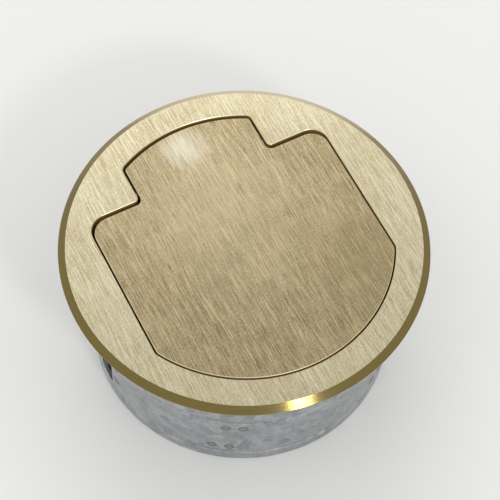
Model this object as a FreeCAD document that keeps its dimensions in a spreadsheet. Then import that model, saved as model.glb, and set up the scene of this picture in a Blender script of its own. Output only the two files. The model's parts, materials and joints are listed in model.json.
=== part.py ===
import FreeCAD, Part
import math
import os
import Sketcher

# Round table box: a brushed brass trim ring and rocker lid over a steel can that holds two
# power outlets and two data jacks. Millimetres, +Z up. The origin is the centre of the ring's
# underside, which lies on the table top. X runs along the hinge and +Y points to the lid's tab.

os.makedirs("parts", exist_ok=True)
doc = FreeCAD.newDocument("TableBox")

DIMENSIONS = {
    # trim ring
    "flange_radius": (75.0, "outer radius of the trim ring"),
    "flange_thick": (2.5, "thickness of the ring and of the lid"),
    "chamfer_width": (3.0, "width of the bevel round the ring, seen from above"),
    "chamfer_drop": (2.2, "height of that bevel"),
    "spigot_depth": (5.0, "depth of the collar that enters the can"),
    "spigot_lip": (1.3, "thinnest wall of that collar"),
    "register_gap": (0.2, "gap between collar and can"),
    "edge_break": (0.25, "small bevel on the visible brass edges"),
    "gasket_inset": (2.2, "brass left outside the gasket's groove"),
    "gasket_gap": (1.0, "can to the gasket's groove"),
    "gasket_thick": (0.9, "thickness of the table gasket"),
    # lid
    "lid_half_width": (52.9, "centre to straight side of the lid"),
    "tab_half_width": (28.6, "half width of the tab that is pressed"),
    "shoulder_reach": (34.7, "centre to the lid's shoulders"),
    "side_gap": (0.75, "gap along the straight sides"),
    "front_gap": (0.7, "gap along the front arc"),
    "tab_side_gap": (1.0, "gap beside the tab"),
    "tab_end_gap": (1.5, "gap behind the tab"),
    "shoulder_gap": (1.7, "gap in front of the ring's ears"),
    "shoulder_round": (7.5, "radius of the lid's shoulders"),
    "ear_round": (1.8, "radius of the corner of the ring's ears"),
    "front_round": (4.0, "radius of the lid's front corners"),
    "tab_round": (1.5, "radius of the corners of the tab"),
    # hinge
    "hinge_setback": (6.55, "lid's shoulder to hinge axis"),
    "hinge_depth": (4.0, "top face to hinge axis"),
    "pin_radius": (1.25, "radius of the hinge pins and claw pins"),
    "pin_play": (0.06, "running gap round a pin"),
    "pin_land": (6.69, "brass between the end of a hinge pin and the collar's outside"),
    "lug_width": (6.6, "width of a lid lug"),
    "lug_round": (3.5, "radius of a lid lug round its pin"),
    "lug_inset": (0.4, "edge of the tab to the lug"),
    # seat under the lid
    "seat_width": (7.3, "width of the lid seat"),
    "seat_thick": (2.8, "thickness of the seat's foot"),
    "seat_gap": (0.3, "gap between the seat and the ring's collar"),
    "seat_end": (13.0, "centre to the ends of the seat"),
    "seat_screw_land": (4.25, "inner edge of the seat to its screws"),
    "seal_thick": (1.0, "thickness of the lid seal"),
    "seal_margin": (1.2, "seat left bare on each side of the seal"),
    # can
    "can_radius": (64.0, "outer radius of the can"),
    "can_wall": (1.5, "wall of the can"),
    "can_depth": (70.0, "table top to the bottom of the can"),
    "sheet": (1.2, "thickness of the folded steel parts"),
    "slot_half": (5.0, "half width of the slots for the claws"),
    "slot_top": (6.0, "table top to the top of the slots"),
    "bead_width": (2.4, "width of a bead rolled round the can"),
    "bead_depth": (0.5, "depth of that bead, and of the lead-in at the bottom"),
    # device deck
    "wiring_room": (6.5, "outlets to the wiring cover"),
    "deck_thick": (1.5, "thickness of the deck and of the wiring cover"),
    "deck_gap": (0.3, "gap round the deck"),
    "bracket_width": (12.0, "width of the welded brackets"),
    "bracket_reach": (10.0, "can wall to the free end of a bracket"),
    "bracket_screw": (5.5, "can wall to the screw of a bracket"),
    "bracket_height": (9.0, "height of a bracket's welded leg"),
    # outlets and jacks
    "outlet_x": (20.5, "centre to the middle of an outlet"),
    "outlet_y": (17.0, "centre to the middle of the outlets, to the front"),
    "outlet_half": (15.8, "half width of an outlet's body"),
    "lip": (2.2, "overlap of a moulded lip on the deck"),
    "lip_thick": (2.0, "thickness of a moulded lip"),
    "neck_depth": (5.0, "deck to the parting line of an outlet"),
    "outlet_depth": (19.0, "height of an outlet's base"),
    "blade_half_gap": (6.35, "middle of an outlet to its blade slots"),
    "blade_slot": (2.2, "width of a blade slot"),
    "blade_length": (8.2, "length of a blade slot"),
    "earth_offset": (8.6, "blade slots to the earth hole"),
    "earth_radius": (2.7, "radius of the earth hole"),
    "earth_screw_inset": (17.4, "can wall to the earth screw"),
    "fit_gap": (0.2, "gap round a snapped-in moulding"),
    "bezel_y": (22.0, "centre to the middle of the data jacks"),
    "bezel_half_width": (22.0, "half width of the data bezel's neck"),
    "bezel_half_depth": (10.0, "half depth of the data bezel's neck"),
    "jack_x": (11.5, "centre to the middle of a jack"),
    "jack_half_width": (7.3, "half width of a jack"),
    "jack_half_depth": (8.0, "half depth of a jack"),
    "jack_height": (18.0, "height of a jack's housing"),
    "port_half_width": (5.9, "half width of a jack's port"),
    "port_depth": (13.0, "depth of a jack's port"),
    # wiring cover
    "cover_recess": (6.0, "bottom of the can to the wiring cover"),
    "bushing_y": (30.0, "centre to a cable bushing"),
    "bushing_bore": (8.0, "radius of a cable bushing's bore"),
    "bushing_wall": (2.0, "wall of a cable bushing"),
    "bushing_height": (8.0, "length of a cable bushing above its flange"),
    "bushing_flange": (2.0, "thickness of a cable bushing's flange"),
    # table clamps
    "screw_inset": (11.5, "can wall to the axis of a clamp screw"),
    "clamp_screw_radius": (2.0, "radius of a clamp screw"),
    "clamp_head_radius": (3.4, "radius of a clamp screw's head"),
    "clamp_head_height": (2.6, "height of a clamp screw's head"),
    "thread_play": (0.08, "running gap round a clamp screw"),
    "channel_top": (8.0, "table top to the top of a clamp channel"),
    "channel_foot": (10.0, "bottom of the can to the bottom of a clamp channel"),
    "channel_back": (4.0, "axis of a clamp screw to the back of its channel"),
    "channel_half": (8.0, "half width of a clamp channel inside"),
    "carriage_gap": (0.5, "gap between a carriage and its channel"),
    "carriage_height": (11.0, "height of a carriage"),
    "carriage_rest": (2.5, "bottom of a clamp channel to a carriage at rest"),
    "pivot_reach": (8.0, "axis of a clamp screw to the pivot of its claw"),
    "pivot_rise": (4.5, "bottom of a carriage to the pivot of its claw"),
    "claw_half": (3.7, "half width of a claw"),
    "claw_inner": (2.6, "pivot to the claw's clamping face"),
    "claw_outer": (1.7, "pivot to the claw's back"),
    "claw_length": (20.5, "pivot to the tip of a claw"),
    "claw_spur": (0.25, "height of the claw's stop"),
    "pad_thick": (1.5, "thickness of a claw's rubber pad"),
    # fasteners
    "m3_radius": (1.5, "radius of an M3 screw"),
    "m3_head_radius": (2.8, "radius of its pan head"),
    "m3_head_height": (1.9, "height of its pan head"),
    "ring_screw_radius": (1.25, "radius of the countersunk ring screws"),
    "ring_screw_head": (2.35, "radius of their heads"),
    "ring_screw_length": (5.0, "length of the ring screws"),
}

sheet = doc.addObject("Spreadsheet::Sheet", "Dims")
for row, (alias, (size, note)) in enumerate(DIMENSIONS.items(), start=1):
    sheet.set(f"A{row}", alias)
    sheet.set(f"B{row}", str(size))
    sheet.setAlias(f"B{row}", alias)
    sheet.set(f"C{row}", note)
doc.recompute()

# Places that several parts share, as expressions on the sheet.
can_inner = "(Dims.can_radius - Dims.can_wall)"
spigot_radius = f"({can_inner} - Dims.register_gap)"
opening_radius = f"({spigot_radius} - Dims.spigot_lip)"
opening_half_width = "(Dims.lid_half_width + Dims.side_gap)"
tab_opening = "(Dims.tab_half_width + Dims.tab_side_gap)"
ear_edge = "(Dims.shoulder_reach + Dims.shoulder_gap)"
hinge_y = "(Dims.shoulder_reach + Dims.hinge_setback)"
hinge_z = "(Dims.flange_thick - Dims.hinge_depth)"
pin_end = f"(sqrt({spigot_radius} ^ 2 - {hinge_y} ^ 2) - Dims.pin_land)"
lid_front = f"({opening_radius} - Dims.front_gap)"
lid_tab = f"({opening_radius} - Dims.tab_end_gap)"
ring_screw_z = "(-Dims.spigot_depth / 2)"
seat_inner = f"({spigot_radius} - Dims.seat_width)"
seat_top = "(-Dims.seal_thick)"
seat_ledge = "(-Dims.spigot_depth - Dims.seat_gap)"
seat_foot = f"({seat_ledge} - Dims.seat_thick)"
cover_under = "(Dims.cover_recess - Dims.can_depth)"
cover_top = f"({cover_under} + Dims.deck_thick)"
outlet_part = f"({cover_top} + Dims.wiring_room + Dims.outlet_depth)"
deck_top = f"({outlet_part} + Dims.neck_depth)"
deck_under = f"({deck_top} - Dims.deck_thick)"
lip_top = f"({deck_top} + Dims.lip_thick)"
screw_x = f"({can_inner} - Dims.screw_inset)"
channel_back = f"({screw_x} - Dims.channel_back)"
pivot_x = f"({screw_x} + Dims.pivot_reach)"
seat_screw_x = f"(({seat_inner} + Dims.seat_screw_land) * cos(20 deg))"
seat_screw_y = f"(-({seat_inner} + Dims.seat_screw_land) * sin(20 deg))"
bracket_hole = f"({can_inner} - Dims.bracket_screw)"
channel_bottom = "(Dims.channel_foot - Dims.can_depth)"
carriage_low = f"({channel_bottom} + Dims.carriage_rest)"
pivot_z = f"({carriage_low} + Dims.pivot_rise)"
RING_SCREW_ANGLES = (-12, 12, 52, 128, 168, 192)
DECK_BRACKET_ANGLES = (60, 120, 240, 300)
COVER_BRACKET_ANGLES = (55, 125, 235, 305)

nodes = []


def value(expression):
    """The number that an expression on the sheet comes to."""
    return float(sheet.evalExpression(expression))


def bind(feature, **sizes):
    """Tie properties of a feature to expressions on the sheet."""
    for prop, expression in sizes.items():
        feature.setExpression(prop, expression)


def move_to(feature, x, y, z):
    """Tie a feature's place to three expressions."""
    for axis, expression in zip("xyz", (x, y, z)):
        feature.setExpression(f"Placement.Base.{axis}", expression)


def turn(feature, axis, angle):
    """Turn a feature about an axis through its own origin."""
    base = feature.Placement.Base
    feature.Placement = FreeCAD.Placement(base, FreeCAD.Rotation(FreeCAD.Vector(*axis), angle))


def node(feature, label):
    """Mark a feature as a finished part of the box."""
    feature.Label = label
    nodes.append(feature)
    return feature


def new_body(name):
    return doc.addObject("PartDesign::Body", name)


def new_sketch(body, plane="XY_Plane", height="0"):
    """An empty sketch on one of the body's own planes, moved along its normal."""
    sketch = body.newObject("Sketcher::SketchObject", f"{body.Name}_sketch")
    support = next(item for item in body.Origin.OriginFeatures if item.Role == plane)
    sketch.AttachmentSupport = [(support, "")]
    sketch.MapMode = "FlatFace"
    sketch.setExpression("AttachmentOffset.Base.z", height)
    return sketch


def measure(sketch, kind, first, first_point, second, second_point, expression):
    """A dimension between two points of a sketch."""
    constraint = Sketcher.Constraint(kind, first, first_point, second, second_point, value(expression))
    index = sketch.addConstraint(constraint)
    sketch.setExpression(f"Constraints[{index}]", expression)


def pin_down(sketch, geometry, point, place):
    """Dimension a point of a sketch from the sketch's origin."""
    for kind, expression in zip(("DistanceX", "DistanceY"), place):
        measure(sketch, kind, -1, 1, geometry, point, expression)


def size_radius(sketch, geometry, expression):
    index = sketch.addConstraint(Sketcher.Constraint("Radius", geometry, value(expression)))
    sketch.setExpression(f"Constraints[{index}]", expression)


def polygon(sketch, corners):
    """A closed outline of straight lines with every corner dimensioned."""
    points = [FreeCAD.Vector(value(x), value(y), 0) for x, y in corners]
    first = sketch.GeometryCount
    for start, end in zip(points, points[1:] + points[:1]):
        sketch.addGeometry(Part.LineSegment(start, end))
    for index, place in enumerate(corners):
        after = first + (index + 1) % len(corners)
        sketch.addConstraint(Sketcher.Constraint("Coincident", first + index, 2, after, 1))
        pin_down(sketch, first + index, 1, place)


def rectangle(sketch, x_low, y_low, x_high, y_high):
    polygon(sketch, [(x_low, y_low), (x_high, y_low), (x_high, y_high), (x_low, y_high)])


def circle(sketch, x, y, radius):
    centre = FreeCAD.Vector(value(x), value(y), 0)
    index = sketch.addGeometry(Part.Circle(centre, FreeCAD.Vector(0, 0, 1), value(radius)))
    pin_down(sketch, index, 3, (x, y))
    size_radius(sketch, index, radius)


def lid_outline(sketch, half_width, tab_width, shoulder, front_radius, tab_radius):
    """The lid's outline: two concentric arcs, straight sides, round shoulders, narrower tab."""
    bend = "Dims.shoulder_round"
    low = f"-sqrt({front_radius}^2 - {half_width}^2)"
    high = f"sqrt({tab_radius}^2 - {tab_width}^2)"
    right = [(tab_width, high), (tab_width, shoulder), (f"{half_width} - {bend}", shoulder)]
    right += [(half_width, f"{shoulder} - {bend}"), (half_width, low)]
    places = right + [(f"-({x})", y) for x, y in reversed(right)]
    points = [FreeCAD.Vector(value(x), value(y), 0) for x, y in places]
    slope = value(bend) * math.sqrt(0.5)
    centre_x, centre_y = value(right[2][0]), value(right[3][1])
    bulge = FreeCAD.Vector(centre_x + slope, centre_y + slope, 0)
    mirrored = FreeCAD.Vector(-bulge.x, bulge.y, 0)
    front = FreeCAD.Vector(0, -value(front_radius), 0)
    back = FreeCAD.Vector(0, value(tab_radius), 0)
    # arcs run anticlockwise: corner they start from, a point on the way, corner they reach, radius
    arcs = {2: (3, bulge, 2, bend), 4: (5, front, 4, front_radius)}
    arcs.update({6: (7, mirrored, 6, bend), 9: (0, back, 9, tab_radius)})
    for start in range(len(points)):
        if start in arcs:
            first, middle, last, radius = arcs[start]
            piece = sketch.addGeometry(Part.Arc(points[first], middle, points[last]))
            size_radius(sketch, piece, radius)
        else:
            first, last = start, start + 1
            piece = sketch.addGeometry(Part.LineSegment(points[first], points[last]))
        pin_down(sketch, piece, 1, places[first])
        pin_down(sketch, piece, 2, places[last])


def pad(body, sketch, length, symmetric=False):
    feature = body.newObject("PartDesign::Pad", f"{body.Name}_pad")
    feature.Profile = sketch
    feature.setExpression("Length", length)
    if symmetric:
        feature.SideType = "Symmetric"
    doc.recompute()
    return feature


def pocket(body, sketch, length=None, symmetric=False):
    """Cut down from the sketch by a length, or right through both ways."""
    feature = body.newObject("PartDesign::Pocket", f"{body.Name}_pocket")
    feature.Profile = sketch
    if length:
        feature.setExpression("Length", length)
    else:
        feature.Type = "ThroughAll"
    if symmetric or not length:
        feature.SideType = "Symmetric"
    doc.recompute()
    return feature


def revolve(body, corners, seam=0):
    """Turn an outline of radius and height about the Z axis, from a seam at an angle."""
    sketch = new_sketch(body, "XZ_Plane")
    sketch.AttachmentOffset.Rotation = FreeCAD.Rotation(FreeCAD.Vector(0, 1, 0), seam)
    polygon(sketch, corners)
    feature = body.newObject("PartDesign::Revolution", f"{body.Name}_turned")
    feature.Profile = sketch
    feature.ReferenceAxis = (sketch, ["V_Axis"])
    feature.Angle = 360
    doc.recompute()
    return feature


def drill(body, radius, depth, base, direction):
    """A round hole from a point along a direction."""
    feature = body.newObject("PartDesign::SubtractiveCylinder", f"{body.Name}_hole")
    bind(feature, Radius=radius, Height=depth)
    feature.Placement = FreeCAD.Placement(
        FreeCAD.Vector(*base), FreeCAD.Rotation(FreeCAD.Vector(0, 0, 1), FreeCAD.Vector(*direction))
    )
    doc.recompute()
    return feature


def upright_edges(shape, places):
    """Names of the straight upright edges that stand at the given x, y places."""
    wanted = [(value(x), value(y)) for x, y in places]
    names = []
    for index, edge in enumerate(shape.Edges, start=1):
        start, end = edge.Vertexes[0].Point, edge.Vertexes[-1].Point
        upright = math.hypot(start.x - end.x, start.y - end.y) < 1e-4
        if upright and any(math.hypot(start.x - x, start.y - y) < 0.01 for x, y in wanted):
            names.append(f"Edge{index}")
    return names


def round_edges(body, radius, names):
    before = body.Tip
    feature = body.newObject("PartDesign::Fillet", f"{body.Name}_round")
    feature.Base = (before, names)
    feature.setExpression("Radius", radius)
    doc.recompute()
    return feature


def round_corners(body, radius, places):
    """Round upright corners, each named by its x and y."""
    round_edges(body, radius, upright_edges(body.Tip.Shape, places))


def bevel_edges(body, size, names):
    before = body.Tip
    feature = body.newObject("PartDesign::Chamfer", f"{body.Name}_bevel")
    feature.Base = (before, names)
    feature.setExpression("Size", size)
    doc.recompute()
    return feature


def level_edges(shape, height, inside):
    """Names of the edges at one height whose ends lie within a radius of the Z axis."""
    names = []
    for index, edge in enumerate(shape.Edges, start=1):
        box_around = edge.BoundBox
        level = abs(box_around.ZMin - height) < 1e-4 and abs(box_around.ZMax - height) < 1e-4
        if level and all(math.hypot(v.X, v.Y) < inside for v in edge.Vertexes):
            names.append(f"Edge{index}")
    return names


def box(name, low, high):
    """A block between two corners."""
    feature = doc.addObject("Part::Box", name)
    sizes = [f"({top}) - ({bottom})" for bottom, top in zip(low, high)]
    bind(feature, Length=sizes[0], Width=sizes[1], Height=sizes[2])
    move_to(feature, *low)
    return feature


def rod(name, start, radius, length, axis=(0, 0, 1)):
    """A cylinder from a point along an axis."""
    feature = doc.addObject("Part::Cylinder", name)
    bind(feature, Radius=radius, Height=length)
    feature.Placement.Rotation = FreeCAD.Rotation(FreeCAD.Vector(0, 0, 1), FreeCAD.Vector(*axis))
    move_to(feature, *start)
    return feature


def cut(name, base, tools):
    """A base with tools taken away."""
    tool = tools[0]
    if len(tools) > 1:
        tool = doc.addObject("Part::MultiFuse", f"{name}_tools")
        tool.Shapes = tools
    feature = doc.addObject("Part::Cut", name)
    feature.Base = base
    feature.Tool = tool
    return feature


def fuse(name, shapes):
    feature = doc.addObject("Part::MultiFuse", name)
    feature.Shapes = shapes
    feature.Refine = True
    return feature


def common(name, shapes):
    feature = doc.addObject("Part::MultiCommon", name)
    feature.Shapes = shapes
    return feature


def group(label, members):
    """Several separate solids that share one part file."""
    feature = doc.addObject("Part::Compound", label)
    feature.Links = members
    return node(feature, label)


def pan_screw(name, place, length, radius="Dims.m3_radius", head_radius="Dims.m3_head_radius",
              head_height="Dims.m3_head_height", downwards=True):
    """A pan head screw with a cross recess, its head resting at the given place."""
    body = new_body(name)
    rim = f"{head_height} * 0.55"
    crown = f"{head_radius} * 0.62"
    revolve(body, [
        ("0", f"-({length})"), (radius, f"-({length})"), (radius, "0"), (head_radius, "0"),
        (head_radius, rim), (crown, head_height), ("0", head_height),
    ])
    recess = new_sketch(body, "XY_Plane", head_height)
    arm = f"{head_radius} * 0.55"
    web = f"{head_radius} * 0.13"
    polygon(recess, [
        (arm, f"-{web}"), (arm, web), (web, web), (web, arm), (f"-{web}", arm), (f"-{web}", web),
        (f"-{arm}", web), (f"-{arm}", f"-{web}"), (f"-{web}", f"-{web}"), (f"-{web}", f"-{arm}"),
        (web, f"-{arm}"), (web, f"-{web}"),
    ])
    pocket(body, recess, f"{head_height} * 0.6")
    if not downwards:
        body.Placement.Rotation = FreeCAD.Rotation(FreeCAD.Vector(1, 0, 0), 180)
    move_to(body, *place)
    return body


def polar(radius, angle):
    """Expressions for the x and y of a point at a radius and an angle in degrees."""
    return (
        f"({radius}) * {math.cos(math.radians(angle)):.6f}",
        f"({radius}) * {math.sin(math.radians(angle)):.6f}",
    )


def opening_corners(half_width, tab_width, shoulder, front_radius, tab_radius):
    """The sharp corners of a lid outline, by kind, as expressions for x and y."""
    low = f"-sqrt({front_radius}^2 - {half_width}^2)"
    high = f"sqrt({tab_radius}^2 - {tab_width}^2)"
    kinds = {"root": (tab_width, shoulder), "front": (half_width, low), "tab": (tab_width, high)}
    return {kind: [(x, y), (f"-{x}", y)] for kind, (x, y) in kinds.items()}


def make_trim_ring():
    """Turned brass ring, pierced for the lid; its ears carry the hinge pins."""
    body = new_body("trim_ring")
    groove_outer = "(Dims.flange_radius - Dims.gasket_inset)"
    groove_inner = "(Dims.can_radius + Dims.gasket_gap)"
    revolve(body, [
        ("0", "-Dims.spigot_depth"), (spigot_radius, "-Dims.spigot_depth"), (spigot_radius, "0"),
        (groove_inner, "0"), (groove_inner, "Dims.gasket_thick"),
        (groove_outer, "Dims.gasket_thick"), (groove_outer, "0"), ("Dims.flange_radius", "0"),
        ("Dims.flange_radius", "Dims.flange_thick - Dims.chamfer_drop"),
        ("Dims.flange_radius - Dims.chamfer_width", "Dims.flange_thick"),
        ("0", "Dims.flange_thick"),
    ])
    outline = (opening_half_width, tab_opening, ear_edge, opening_radius, opening_radius)
    sketch = new_sketch(body)
    lid_outline(sketch, *outline)
    pocket(body, sketch)
    corners = opening_corners(*outline)
    round_corners(body, "Dims.ear_round", corners["root"])
    round_corners(body, "Dims.front_round + Dims.front_gap", corners["front"])
    round_corners(body, "Dims.tab_round + Dims.tab_end_gap", corners["tab"])
    inside = value(f"{opening_radius} + 0.1")
    bevel_edges(body, "Dims.edge_break",
                level_edges(body.Tip.Shape, value("Dims.flange_thick"), inside))
    pins = new_sketch(body, "YZ_Plane")
    circle(pins, hinge_y, hinge_z, "Dims.pin_radius")
    pocket(body, pins, f"2 * {pin_end}", symmetric=True)
    for angle in RING_SCREW_ANGLES:
        x, y = (value(part) for part in polar("Dims.can_radius", angle))
        drill(body, "Dims.ring_screw_radius", "Dims.ring_screw_length",
              (x, y, value(ring_screw_z)), (-x, -y, 0))
    for sign in (1, -1):
        drill(body, "Dims.m3_radius", f"{seat_top} + Dims.spigot_depth",
              (sign * value(seat_screw_x), value(seat_screw_y), value("-Dims.spigot_depth")), (0, 0, 1))
    node(body, "trim_ring")
    gasket = new_body("table_gasket")
    revolve(gasket, [
        (groove_inner, "0"), (groove_outer, "0"),
        (groove_outer, "Dims.gasket_thick"), (groove_inner, "Dims.gasket_thick"),
    ])
    node(gasket, "table_gasket")


def make_lid():
    """The brass rocker lid, its brazed lugs and the two pins they turn on."""
    body = new_body("lid")
    outline = ("Dims.lid_half_width", "Dims.tab_half_width", "Dims.shoulder_reach", lid_front, lid_tab)
    sketch = new_sketch(body)
    lid_outline(sketch, *outline)
    pad(body, sketch, "Dims.flange_thick")
    corners = opening_corners(*outline)
    round_corners(body, "Dims.ear_round + Dims.tab_side_gap", corners["root"])
    round_corners(body, "Dims.front_round", corners["front"])
    round_corners(body, "Dims.tab_round", corners["tab"])
    bevel_edges(body, "Dims.edge_break",
                level_edges(body.Tip.Shape, value("Dims.flange_thick"), value("Dims.flange_radius")))
    node(body, "lid")
    lugs, pins = [], []
    outer = "(Dims.tab_half_width - Dims.lug_inset)"
    inner = f"({outer} - Dims.lug_width)"
    for side, sign in (("right", ""), ("left", "-")):
        low_x = inner if side == "right" else f"-{outer}"
        high_x = outer if side == "right" else f"-{inner}"
        block = box(f"lug_{side}_block", (low_x, f"{hinge_y} - Dims.lug_round", hinge_z),
                    (high_x, f"{hinge_y} + Dims.lug_round", "0"))
        barrel = rod(f"lug_{side}_barrel", (low_x, hinge_y, hinge_z), "Dims.lug_round",
                     "Dims.lug_width", (1, 0, 0))
        bore = rod(f"lug_{side}_bore", (low_x, hinge_y, hinge_z), "Dims.pin_radius + Dims.pin_play",
                   "Dims.lug_width", (1, 0, 0))
        above = box(f"lug_{side}_above", (low_x, f"{hinge_y} - Dims.lug_round", "0"),
                    (high_x, f"{hinge_y} + Dims.lug_round", "Dims.lug_round"))
        lugs.append(cut(f"lug_{side}", fuse(f"lug_{side}_solid", [block, barrel]), [bore, above]))
        pins.append(rod(f"hinge_pin_{side}", (f"{sign}{inner}", hinge_y, hinge_z), "Dims.pin_radius",
                        f"{pin_end} - {inner}", (1 if side == "right" else -1, 0, 0)))
    group("lid_lugs", lugs)
    group("hinge_pins", pins)


def make_can():
    """Rolled steel can with beads, claw slots and countersinks for the ring screws."""
    body = new_body("can")
    groove = "(Dims.can_radius - Dims.bead_depth)"
    outline = [
        (can_inner, "0"), (can_inner, "-Dims.can_depth"), (groove, "-Dims.can_depth"),
        ("Dims.can_radius", "-Dims.can_depth + 2 * Dims.bead_depth"),
    ]
    for level in (cover_top, deck_under):
        outline.append(("Dims.can_radius", f"{level} - Dims.bead_width / 2"))
        outline.append((groove, f"{level} - Dims.bead_width / 4"))
        outline.append((groove, f"{level} + Dims.bead_width / 4"))
        outline.append(("Dims.can_radius", f"{level} + Dims.bead_width / 2"))
    outline.append(("Dims.can_radius", "0"))
    revolve(body, outline, seam=20)
    slots = new_sketch(body, "YZ_Plane")
    rectangle(slots, "-Dims.slot_half", channel_bottom, "Dims.slot_half", "-Dims.slot_top")
    pocket(body, slots)
    round_edges(body, "Dims.slot_half * 0.5", [
        f"Edge{index}" for index, edge in enumerate(body.Tip.Shape.Edges, start=1)
        if abs(edge.BoundBox.YLength) < 1e-4 and abs(edge.BoundBox.ZLength) < 1e-4
    ])
    screws = []
    for number, angle in enumerate(RING_SCREW_ANGLES, start=1):
        x, y = (value(part) for part in polar("Dims.can_radius", angle))
        inward = FreeCAD.Rotation(FreeCAD.Vector(0, 0, 1), FreeCAD.Vector(-x, -y, 0))
        # the cone starts one wall outside the can, so that it leaves a clean rim
        start = [value(part) for part in polar("Dims.can_radius + Dims.can_wall", angle)]
        start.append(value(ring_screw_z))
        sink = body.newObject("PartDesign::SubtractiveCone", "can_countersink")
        bind(sink, Radius1="2 * Dims.ring_screw_head - Dims.ring_screw_radius",
             Radius2="Dims.ring_screw_radius", Height="2 * Dims.can_wall")
        sink.Placement = FreeCAD.Placement(FreeCAD.Vector(*start), inward)
        drill(body, "Dims.ring_screw_radius", "4 * Dims.can_wall", start, (-x, -y, 0))
        screw = new_body(f"ring_screw_{number}")
        revolve(screw, [
            ("0", "0"), ("Dims.ring_screw_head", "0"), ("Dims.ring_screw_radius", "Dims.can_wall"),
            ("Dims.ring_screw_radius", "Dims.ring_screw_length"), ("0", "Dims.ring_screw_length"),
        ])
        screw.Placement = FreeCAD.Placement(FreeCAD.Vector(x, y, value(ring_screw_z)), inward)
        screws.append(screw)
    node(body, "can")
    group("ring_screws", screws)


def make_seat():
    """Moulded seat under the lid's front arc, its rubber seal and the two screws that hold it."""
    foot = new_body("seat_turned")
    outer = f"({spigot_radius})"
    rib = f"({opening_radius} - Dims.seat_gap)"
    revolve(foot, [
        (seat_inner, seat_foot), (outer, seat_foot), (outer, seat_ledge), (rib, seat_ledge),
        (rib, seat_top), (seat_inner, seat_top),
    ])
    reach = "Dims.can_radius"
    side = f"({opening_half_width} - Dims.seat_gap)"
    tools = [box("seat_back", (f"-{reach}", "-Dims.seat_end", seat_foot), (reach, reach, "0"))]
    tools.append(box("seat_right", (side, f"-{reach}", seat_ledge), (reach, reach, "0")))
    tools.append(box("seat_left", (f"-{reach}", f"-{reach}", seat_ledge), (f"-{side}", reach, "0")))
    places = [(x, seat_screw_y, seat_foot) for x in (seat_screw_x, f"-{seat_screw_x}")]
    for x, y, z in places:
        tools.append(rod("seat_hole", (x, y, z), "Dims.m3_radius", "Dims.can_depth"))
    node(cut("lid_seat", foot, tools), "lid_seat")
    seal = new_body("seal_turned")
    seal_inner = f"({seat_inner} + Dims.seal_margin)"
    seal_outer = f"({rib} - Dims.seal_margin)"
    revolve(seal, [
        (seal_inner, seat_top), (seal_outer, seat_top), (seal_outer, "0"), (seal_inner, "0"),
    ])
    keep = box("seal_front", (f"-{side}", f"-{reach}", seat_top),
               (side, "-Dims.seat_end - Dims.seal_margin", "0"))
    node(common("lid_seal", [seal, keep]), "lid_seal")
    depth = f"({seat_top}) - ({seat_foot})"
    group("seat_screws", [
        pan_screw(f"seat_screw_{number}", place, depth, downwards=False)
        for number, place in enumerate(places, start=1)
    ])


def bracket(name, level, rising, angle):
    """A welded angle bracket on the can's wall; its free leg lies under or over the level."""
    body = new_body(f"{name}_turned")
    reach = f"({can_inner} - Dims.bracket_reach)"
    wall = f"({can_inner} - Dims.sheet)"
    sign = "+" if rising else "-"
    leg = f"{level} {sign} Dims.sheet"
    end = f"{level} {sign} Dims.bracket_height"
    revolve(body, [
        (reach, level), (can_inner, level), (can_inner, end), (wall, end), (wall, leg), (reach, leg),
    ])
    low = "-Dims.can_depth"
    width = "Dims.bracket_width / 2"
    keep = box(f"{name}_width", ("0", f"-{width}", low), ("Dims.can_radius", width, "0"))
    piece = common(f"{name}_blank", [body, keep])
    hole = rod(f"{name}_hole", (bracket_hole, "0", low), "Dims.m3_radius", "Dims.can_depth")
    drilled = cut(name, piece, [hole])
    turn(drilled, (0, 0, 1), angle)
    return drilled


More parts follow.
